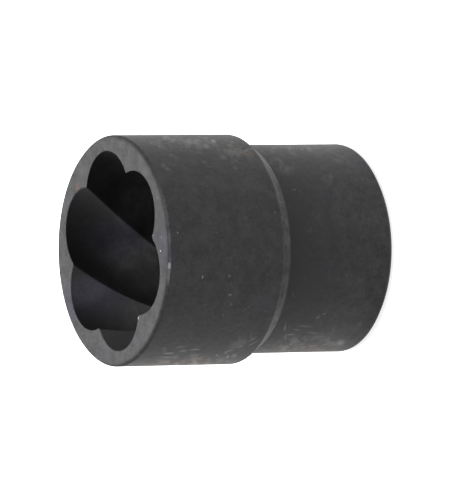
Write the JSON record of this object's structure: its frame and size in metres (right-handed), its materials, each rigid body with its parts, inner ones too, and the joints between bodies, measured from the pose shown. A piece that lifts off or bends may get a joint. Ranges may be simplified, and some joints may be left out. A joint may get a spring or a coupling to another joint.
{
  "type": "screw extractor socket",
  "caption": "Square-drive socket with left-hand tapered spiral flutes that bite on a worn bolt head or nut and turn it out.",
  "frame": {"origin": "centre of the annular drive-end face, on the socket's axis", "axes": "+Z along the socket's axis from the drive end to the fluted mouth; +X through the middle of one flute at the mouth and square to one flat of the drive"},
  "size_m": [0.033, 0.033, 0.038],
  "materials": {
    "phosphated_steel": "matte"
  },
  "bodies": {
    "root": {"extractor_socket": "phosphated_steel"}
  },
  "joints": []
}
